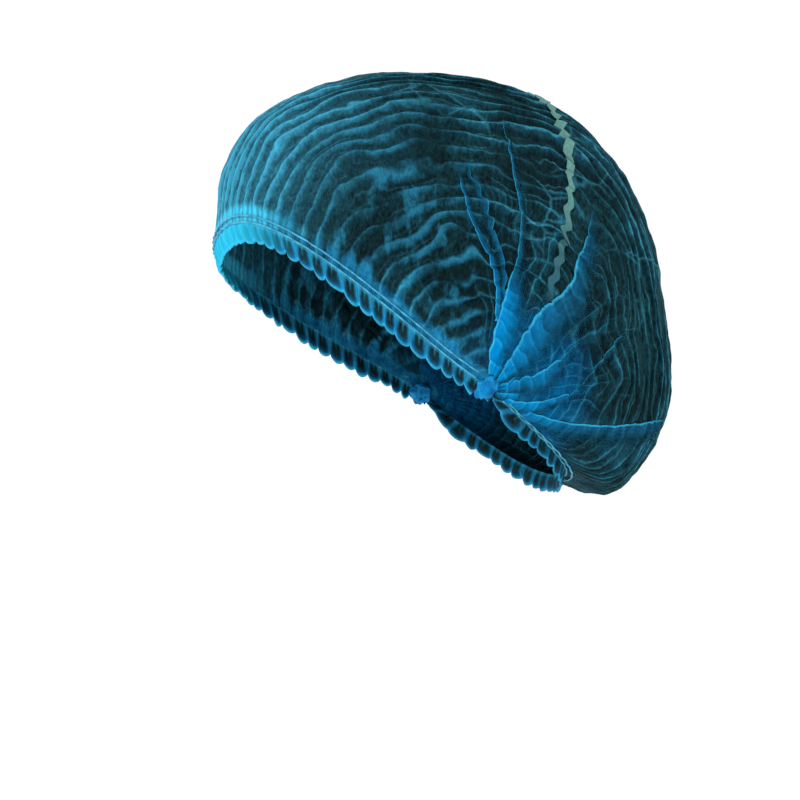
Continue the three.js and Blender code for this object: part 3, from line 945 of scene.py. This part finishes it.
def web_finish():
    """The pleated web."""
    paint = Paint("web_finish")
    clouds, speckle = fibre_grain(paint)
    share, turn, reach = paint.mask("share"), paint.mask("turn"), paint.mask("reach")
    front, rear = paint.mask("front"), paint.mask("rear")
    off_middle = abs(share)
    wiggle = (paint.clouds(150.0, 2.0, 0.5) - 0.5) * 0.42
    broken = paint.clouds(48.0, 2.0, 0.5)
    fuzz = 0.35 + 0.45 * speckle + 0.35 * clouds

    phase = paint.mask("phase")
    part = (phase + wiggle).maths("FRACT")
    forehead = (1 - turn.ramp(42.0, 82.0)) * (1 - off_middle.ramp(0.14, 0.62))
    whole = (0.25 + 0.75 * broken.ramp(0.36, 0.58) + forehead).clipped()
    gathers = (paint.mask("strength") + 0.35 * forehead) * whole
    temple = (1 - turn.ramp(74.0, 90.0)) * off_middle.ramp(0.22, 0.42)
    fan_gap = turn.ramp(96.0, 104.0) * (1 - turn.ramp(116.0, 122.0)) * off_middle.ramp(0.45, 0.62)
    crest = line_at(part, 0.5, 0.10) * gathers * (1 - 0.80 * temple)
    overlap = (part.ramp(0.49, 0.52) - part.ramp(0.56, 0.84)) * gathers
    second = line_at((phase + wiggle * 1.6 + 0.37).maths("FRACT"), 0.45, 0.08)
    second = second * paint.clouds(34.0, 2.0, 0.5).ramp(0.42, 0.62) * (1 - 0.7 * temple) * (1 - 0.7 * fan_gap)
    haze_band = (part.ramp(0.25, 0.50) - part.ramp(0.50, 0.90)) * paint.clouds(40.0, 2.0, 0.5).ramp(0.44, 0.60)
    # Painted shadow: a dark band along one side of each crest.
    shadow = (part.ramp(0.22, 0.46) - part.ramp(0.46, 0.50)) * gathers

    upper = turn.ramp(80.0, 92.0) * (1 - turn.ramp(120.0, 146.0))
    behind = turn.ramp(98.0, 125.0)
    bunch = (1 - (reach - behind * 0.018).ramp(0.010, 0.036)) * (0.20 + 0.80 * turn.ramp(84.0, 94.0))
    away = reach.ramp(0.045, 0.085)

    crease_part = (paint.mask("creases") + wiggle * 0.8).maths("FRACT")
    creased = paint.mask("crease") * (1 - 0.9 * temple)
    crease = line_at(crease_part, 0.5, 0.08) * creased * 0.65
    crease_band = (crease_part.ramp(0.49, 0.52) - crease_part.ramp(0.58, 0.98)) * creased
    streaks = line_at((paint.mask("creases") * 4.0 + wiggle * 2.0).maths("FRACT"), 0.5, 0.3)
    streaks = streaks * upper * off_middle.ramp(0.40, 0.60) * broken.ramp(0.35, 0.60) * (1 - 0.7 * fan_gap)

    crumple_place = paint.node("ShaderNodeMapping", {}, {"Vector": paint.place(), "Scale": (0.7, 1.0, 1.25)})
    cells = {"Vector": crumple_place, "Scale": 46.0, "Randomness": 1.0}
    corner = paint.node("ShaderNodeTexVoronoi", {"feature": "DISTANCE_TO_EDGE"}, cells, "Distance")
    crumple = (1 - corner / 0.045).clipped() * paint.clouds(30.0, 2.0, 0.5).ramp(0.48, 0.62)
    crumple = crumple * (1 - 0.8 * temple) * away
    smudge = paint.clouds(62.0, 3.0, 0.6, (1.0, 1.7, 0.8)).ramp(0.54, 0.70) * temple
    smudge = smudge * off_middle.ramp(0.30, 0.50) * (1 - reach.ramp(0.10, 0.13))

    rough_edge = (paint.clouds(90.0, 3.0, 0.6) - 0.5) * 0.009
    own = paint.lot(phase.maths("FLOOR"))
    across = phase.maths("FRACT")
    round_top = (across * (1 - across) * 4.0) ** 0.5
    ragged = rough_edge * 0.8 + (broken - 0.5) * 0.012
    limit = 0.003 + 0.009 * round_top * own
    pouch = ((limit - front - ragged) / 0.0035).clipped() * round_top.ramp(0.1, 0.8)
    pouch_edge = line_at(front + ragged, limit, 0.0011) * broken.ramp(0.45, 0.6)
    rear_limit = 0.003 + 0.006 * round_top * (0.4 + 0.8 * own)
    rear_pouch = ((rear_limit - rear - rough_edge * 0.3) / 0.0015).clipped() * off_middle.ramp(0.50, 0.70)
    beside = off_middle.ramp(0.30, 0.52)
    puffs = 1 - (front + rough_edge).ramp(0.0040, 0.0080)
    puffs = (puffs * off_middle.ramp(0.50, 0.70) + rear_pouch).clipped()
    band = (1 - (front + rough_edge * 0.25).ramp(0.0045, 0.0085)) * (1 - off_middle.ramp(0.24, 0.50))
    back_brim = 1 - rear.ramp(0.001, 0.006)
    bag = (turn.ramp(190.0, 197.0) - turn.ramp(200.0, 214.0)) * off_middle.ramp(0.20, 0.50) * broken.ramp(0.30, 0.60)

    broad = paint.clouds(24.0, 2.0, 0.5).ramp(0.36, 0.62)
    single = paint.colour((clouds * 0.42 + speckle * 0.70) * (0.44 + 0.62 * broad), DEEP, TEAL)
    soft = overlap * 0.34 + crease_band * 0.30 + smudge * 0.75 + haze_band * temple * 0.95
    soft = (soft + streaks * 0.30 + back_brim * 0.3 + bag * 0.35) * fuzz
    stripes = crest * 0.9 + overlap * 0.6 + second * 0.6
    streaked = 0.35 + 0.4 * overlap + 0.5 * line_at((phase * 2.0 + wiggle).maths("FRACT"), 0.4, 0.4)
    lines = (crest * (0.55 + 0.40 * away) + second * 0.40 * away + crumple * 0.38 + pouch_edge * beside * 0.5) * fuzz
    low_line = line_at(part, 0.5, 0.12) * (1 - (front + rough_edge).ramp(0.010, 0.030)) * beside * gathers
    bright = (crease * 0.65 + crest * (forehead * 0.9 + bunch * 0.4 + temple * 0.25) + low_line * 0.6) * fuzz
    final = paint.coats(
        single,
        # The painted shadow beside each crest goes on first.
        (shadow * 0.9, PAINTED_FOLD_SHADOW),
        (soft * 1.3, HAZE),
        (forehead * (0.36 + stripes * 1.35) * fuzz * 1.6, FRONT_BLUE),
        (bunch * fuzz * 1.2, BLUE),
        (band * streaked * (0.9 + 0.7 * fuzz), BROW_LIGHT),
        (pouch * beside * fuzz * 0.75, paint.colour(own, BLUE, PUFF)),
        (puffs * (0.35 + 0.5 * fuzz), paint.colour(clouds, BLUE, PUFF)),
        (lines * 1.15, LINE),
        (bright, CYAN),
    )

    relief = speckle * 0.35 + clouds * 0.4 + crest * 0.8 + crease * 0.8 + crumple * 0.5 + puffs * 0.6
    paint.bump(relief, 0.0008, 0.7)
    return paint.finish(
        Base_Color=final, Roughness=0.78 - 0.10 * speckle, Sheen_Weight=0.14,
        Specular_IOR_Level=0.03, **SHEEN,
    )


web.data.materials.append(web_finish())

# %% [markdown]
# A pleat shows the web doubled, so it is lighter and bluer than the single layer. Its folded edge is
# the lightest line of all, and from there the band fades into the web. Near a knot several layers lie
# on each other, and the crimps that cross them turn the bands into small tiles of different blues.
# Each tile also carries painted light: a painted highlight along its first border, painted shade that
# deepens along it, and a line of painted shade in the groove at its end.

# %% Finish of the pleats


def pleat_finish():
    """The doubled web of the larger folds."""
    paint = Paint("pleat_finish")
    clouds, speckle = fibre_grain(paint)
    across, tone, fade = paint.mask("across"), paint.mask("tone"), paint.mask("fade")
    close = 1 - paint.mask("reach").ramp(0.018, 0.060)
    wiggle = (paint.clouds(150.0, 2.0, 0.5) - 0.5) * 0.5
    phase = paint.mask("phase") + wiggle * 0.3
    part = phase.maths("FRACT")
    tile = phase.maths("FLOOR") * 1.37 + paint.mask("number") * 5.1
    own = paint.lot(tile)
    shade = (1 - (across + wiggle * 0.2)).clipped() ** 2.6
    # Painted shade: each tile is lightest at its first border and darkens along its length.
    step = 1 - part.ramp(0.0, 1.0)
    edge = (1 - across / 0.05).clipped() ** 0.7
    own = 0.5 + (own - 0.5) * (0.25 + 0.75 * close)
    # Painted highlight along each tile's first border, and painted shade in the groove at its end.
    border = line_at(part, 0.10, 0.14) * shade
    painted_groove_shade = line_at(part, 0.96, 0.12) * close
    crest = line_at(part + wiggle * 0.5, 0.5, 0.14) * paint.mask("strength") * (1 - close)
    grooves = (across * 9.0 + wiggle * 4.0 + paint.mask("number")).maths("FRACT").ramp(0.0, 0.9)
    fuzz = 0.45 + 0.40 * speckle + 0.40 * clouds

    single = paint.colour(0.10 + clouds * 0.40 + speckle * 0.60, DEEP, TEAL)
    strength = shade * (0.30 + 0.85 * tone) * (0.70 + 0.30 * own) * (0.80 + 0.20 * step) * (0.65 + 0.35 * grooves)
    dense = (tone * 1.5 - 0.6 + 0.55 * close) * (0.25 + 0.85 * close) * shade * (0.50 + 0.40 * own + 0.45 * step)
    lines = (border * 0.40 * close * tone + crest * 0.35 * shade) * fuzz
    final = paint.coats(
        single,
        (strength * fuzz * 1.5, paint.colour(tone, HAZE, BLUE)),
        (dense * 1.3 * (0.7 + 0.4 * clouds), BLUE_FULL),
        # Painted shade in the groove at the end of each tile.
        (painted_groove_shade * 0.4 * shade, seen(0, 62, 112)),
        (lines, paint.colour(close, LINE, CYAN)),
        (edge * (0.20 + 0.30 * own + 0.55 * tone) * fuzz * 1.2, CYAN),
    )
    cover = (shade * 2.4 + wiggle * 0.4).clipped() * (fade * 1.2 - 0.2 * clouds).clipped()
    cover = cover * (1 - across.ramp(0.55, 0.78))
    paint.bump(speckle * 0.4 + clouds * 0.5 + step * 0.2 + grooves * 0.4, 0.0005, 0.6)
    return paint.finish(
        Base_Color=final, Alpha=cover, Roughness=0.82 - 0.08 * speckle, Sheen_Weight=0.05,
        Specular_IOR_Level=0.02, **SHEEN,
    )


pleat_cloth.data.materials.append(pleat_finish())

# %% [markdown]
# A hem lobe is a small pillow of two layers. Its middle is clear enough to look dark, while its
# rounded lower edge and the pinched valleys beside it show as light blue outlines.

# %% Finish of the hems


def hem_finish(name, glow, brow):
    """A folded and gathered edge."""
    paint = Paint(name)
    clouds, speckle = fibre_grain(paint)
    down, share = paint.mask("down"), paint.mask("share")
    phase = paint.mask("phase") + (paint.clouds(300.0, 2.0) - 0.5) * 0.12
    part = phase.maths("FRACT")
    own = paint.lot(phase.maths("FLOOR"))
    side = abs(part - 0.5) * 2
    hollow = side.ramp(0.35, 1.0) * 0.55 + down.ramp(0.55, 1.0) * 0.60
    valley = line_at(part, 0.02, 0.13) * (0.5 + 0.5 * own) + line_at(part, 0.93, 0.10) * 0.8
    rim = down.ramp(0.78, 0.96)
    top = (1 - down.ramp(0.02, 0.24)) * 0.5
    pucker = line_at((phase * 3.0).maths("FRACT"), 0.5, 0.25) * (1 - down.ramp(0.15, 0.55))
    forehead = (1 - abs(share).ramp(0.12, 0.45)) * brow
    fuzz = 0.6 + 0.25 * speckle + 0.25 * clouds
    beside = (1 - abs(share).ramp(0.20, 0.60)) * brow
    outline = valley * (0.55 + 0.5 * forehead) + rim * (0.50 + 0.35 * own) + top + pucker * 0.30
    lit = paint.coats(
        paint.colour(clouds * 0.4 + speckle * 0.4 + own * 0.15, DEEP, TEAL),
        (beside * (0.35 + 0.2 * own), HAZE),
        (hollow * fuzz * glow, BLUE_FULL),
        (forehead * (1.15 - 0.50 * part.ramp(0.05, 0.85)), BROW),
        (outline * fuzz * glow, CYAN),
    )
    paint.bump(speckle * 0.4 + clouds * 0.4 + valley * 0.5, 0.0003, 0.5)
    return paint.finish(
        Base_Color=lit, Roughness=0.74 - 0.12 * rim, Sheen_Weight=0.15,
        Specular_IOR_Level=0.05, **SHEEN,
    )


hems["front_hem_cloth"].data.materials.append(hem_finish("front_hem_finish", 1.0, 1.0))
hems["rear_hem_cloth"].data.materials.append(hem_finish("rear_hem_finish", 0.6, 0.0))

# %% [markdown]
# The elastic is a rubber core wrapped in pale thread, so fine slanted turns show on it. The strip is
# a smooth grey-green tape with a soft sheen and faint lengthwise lines, and painted shade darkens it in a
# line at each step and along its two edges. The knots are melted web: the strongest blue on the cap,
# with painted shade that makes them darker between the pleats and painted highlights on their ridges and
# cell middles, and a little glossy.

# %% Finishes of the small pieces


def thread_finish():
    """Covered elastic."""
    paint = Paint("elastic_finish")
    along = paint.mask("along")
    turns = (along * 5200.0).maths("SINE") * 0.5 + 0.5
    wear = paint.clouds(260.0, 3.0).ramp(0.35, 0.65)
    tone = paint.colour(turns * 0.4 + wear * 0.6, seen(34, 128, 166), seen(92, 200, 232))
    paint.bump(turns, 0.0001, 0.5)
    return paint.finish(Base_Color=tone, Roughness=0.62, Specular_IOR_Level=0.25)


def strip_finish():
    """The joining tape."""
    paint = Paint("strip_finish")
    side = paint.mask("side")
    part = paint.mask("phase").maths("FRACT")
    clouds, speckle = fibre_grain(paint)
    shade = paint.colour(clouds * 0.5 + speckle * 0.5, seen(72, 128, 122), seen(112, 166, 156))
    # Painted shade: a dark line at the fold of each step.
    fold = line_at(part, 0.93, 0.08) * (1 - abs(paint.mask("share")).ramp(0.40, 0.60))
    # Painted shade along the two edges of the tape.
    edge = abs(side).ramp(0.40, 0.5)
    low = abs(paint.mask("share")).ramp(0.40, 0.72)
    tinted = paint.colour(low * 0.9, shade, seen(16, 84, 104))
    final = paint.colour(fold * 0.7 + edge * 0.3, tinted, seen(20, 62, 70))
    lengthwise = (side * 60.0).maths("SINE") * 0.5 + 0.5
    paint.bump(lengthwise * 0.4 + speckle * 0.5, 0.0001, 0.4)
    cover = (1 - abs(paint.mask("share")).ramp(0.71, 0.755)) * 0.97
    return paint.finish(
        Base_Color=final, Alpha=cover, Roughness=0.55 + 0.15 * speckle, Specular_IOR_Level=0.2,
    )


def knot_finish():
    """The welded ends."""
    paint = Paint("knot_finish")
    clouds, speckle = fibre_grain(paint)
    fold, lump = paint.mask("fold"), paint.mask("lump")
    cells = {"Vector": paint.place(), "Scale": 230.0, "Randomness": 0.8}
    middle = paint.node("ShaderNodeTexVoronoi", {}, cells, "Distance")
    side = paint.node("ShaderNodeTexVoronoi", {"feature": "DISTANCE_TO_EDGE"}, cells, "Distance")
    # Painted light and shade on the crumpled cells: lighter in their middles, darker towards their borders, with
    # some random tone from the lumps.
    tone = paint.colour(1 - middle * 1.3 + (lump - 0.5), seen(0, 92, 154), seen(4, 142, 214))
    border = (1 - side / 0.07).clipped()
    # Painted highlights on the ridges of the folds, and a faint painted light line on each cell border.
    lit = paint.colour(border * (0.05 + 0.25 * speckle) + fold * 0.25, tone, CYAN)
    paint.bump(speckle * 0.3 + fold * 0.3 - middle, 0.0006, 0.7)
    return paint.finish(Base_Color=lit, Roughness=0.66 + 0.15 * clouds, Specular_IOR_Level=0.08)


elastic = thread_finish()
for thing in threads.values():
    thing.data.materials.append(elastic)
strip.data.materials.append(strip_finish())
weld_blue = knot_finish()
for thing in knots.values():
    thing.data.materials.append(weld_blue)
print("materials", [material.name for material in bpy.data.materials])

# %% [markdown]
# Every piece rides on the one body and takes the place of its plain solid. The area of each piece's
# mesh is printed.

# %% Attach the pieces to the body


def cloth_area(thing):
    """Area of a mesh in square metres."""
    return sum(polygon.area for polygon in thing.data.polygons)


PLACES = {
    "web": ("crown", "web"),
    "web_pleats": ("crown", "web"),
    "front_hem_cloth": ("front_hem", "hem"),
    "rear_hem_cloth": ("rear_hem", "hem"),
    "joining_strip": ("join_strip", "strip"),
    "left_knot": ("left_end_weld", "weld"),
    "right_knot": ("right_end_weld", "weld"),
    **{name: (row[4], "elastic") for name, row in THREADS.items()},
}
for name, (node, slot) in PLACES.items():
    thing = bpy.data.objects[name]
    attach(thing, "root")
    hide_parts(node)
    print(name, "area", round(cloth_area(thing), 4), "m2")
